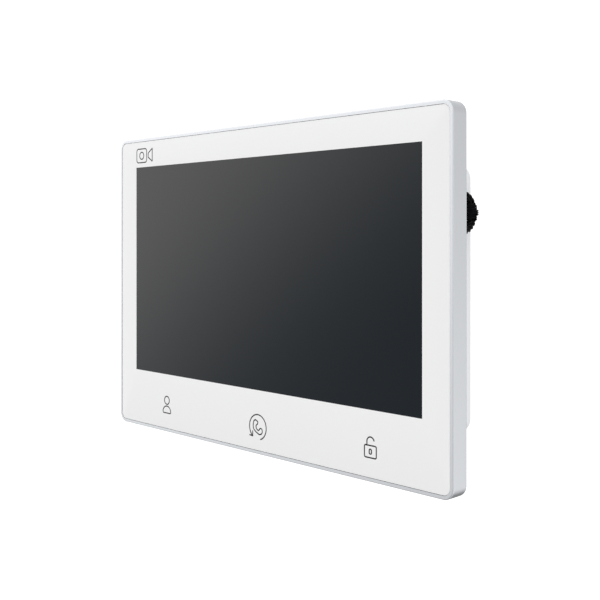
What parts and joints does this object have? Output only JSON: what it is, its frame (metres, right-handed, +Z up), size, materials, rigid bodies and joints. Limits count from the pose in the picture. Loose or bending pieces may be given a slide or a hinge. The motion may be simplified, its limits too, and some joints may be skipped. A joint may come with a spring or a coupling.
{
  "type": "video intercom monitor",
  "caption": "Slim wall-hung indoor video intercom screen with touch keys, a rear housing, a steel wall bracket and a short tied wire lead.",
  "frame": {"origin": "middle of the wall bracket's hole pattern, on the wall plane", "axes": "+X to the right seen from the front, +Y into the wall, +Z up; the glass faces -Y"},
  "size_m": [0.1786, 0.0212, 0.122],
  "materials": {
    "zinc_steel": "zinc plated sheet",
    "white_frame": "satin white plastic",
    "front_glass": "polished",
    "black_tape": "foam tape",
    "white_print": "printed film",
    "grey_print": "printed ink",
    "dark_panel": "glossy dark",
    "tray_steel": "pressed sheet",
    "flex_film": "polyimide film",
    "green_board": "solder mask",
    "grey_foam": "conductive foam",
    "led_body": "cast resin",
    "gold_can": "plated can",
    "black_rubber": "soft rubber",
    "chip_black": "moulded epoxy",
    "fin_aluminium": "extruded",
    "tin_can": "tinned sheet",
    "can_aluminium": "drawn can",
    "ferrite": "ferrite",
    "black_plastic": "fine texture",
    "cell_steel": "nickel plated",
    "grey_plastic": "satin",
    "ivory_nylon": "moulded nylon",
    "gold_pins": "tinned brass",
    "green_nylon": "moulded nylon",
    "screw_steel": "nickel plated",
    "black_steel": "black coated",
    "speaker_paper": "coated paper",
    "magnet_steel": "plated",
    "white_cover": "fine moulded texture",
    "label_film": "blank silver film",
    "wire_black": "soft PVC",
    "tie_black": "nylon",
    "plug_black": "moulded nylon"
  },
  "bodies": {
    "bracket": {"wall_bracket": "zinc_steel"},
    "monitor": {"front_bezel": "white_frame", "front_glass": "front_glass", "glass_tape": "black_tape", "border_mask": "white_print", "key_icons": "grey_print", "lcd_panel": "dark_panel", "lcd_tray": "tray_steel", "lcd_flex": "flex_film", "touch_board": "green_board", "touch_pads": "grey_foam", "key_lights": "led_body", "touch_flex": "flex_film", "microphone": "gold_can", "mic_boot": "black_rubber", "main_board": "green_board", "processor": "chip_black", "heat_sink": "fin_aluminium", "memory_chips": "chip_black", "radio_shield": "tin_can", "capacitors": "can_aluminium", "inductors": "ferrite", "battery_holder": "black_plastic", "clock_battery": "cell_steel", "card_socket": "tin_can", "switch_body": "tin_can", "reset_switch": "black_plastic", "station_sockets": "ivory_nylon", "socket_pins": "gold_pins", "power_terminal": "green_nylon", "terminal_screws": "screw_steel", "speaker_basket": "black_steel", "speaker_cone": "speaker_paper", "speaker_magnet": "magnet_steel", "speaker_gasket": "black_tape", "board_screws": "screw_steel", "case_screws": "screw_steel", "rear_cover": "white_cover", "rubber_pads": "black_rubber", "rating_label": "label_film", "lead_grommet": "black_rubber", "lead_wire": "wire_black", "lead_coil": "wire_black", "lead_tie": "tie_black", "lead_plug": "plug_black"},
    "card": {"memory_card": "black_plastic"},
    "lever": {"switch_lever": "black_plastic"},
    "button": {"reset_button": "grey_plastic"}
  },
  "joints": [
    {"name": "lift_off_hooks", "type": "slide", "parent": "bracket", "child": "monitor", "axis": [0, 0, 1], "range_m": [0, 0.008]},
    {"name": "card_pull", "type": "slide", "parent": "monitor", "child": "card", "axis": [0, 0, -1], "range_m": [0, 0.012]},
    {"name": "power_slide", "type": "slide", "parent": "monitor", "child": "lever", "axis": [1, 0, 0], "range_m": [0, 0.002]},
    {"name": "reset_press", "type": "slide", "parent": "monitor", "child": "button", "axis": [0, 0, 1], "range_m": [0, 0.0005], "stiffness_N_per_m": 800, "springref_m": -0.0005}
  ]
}
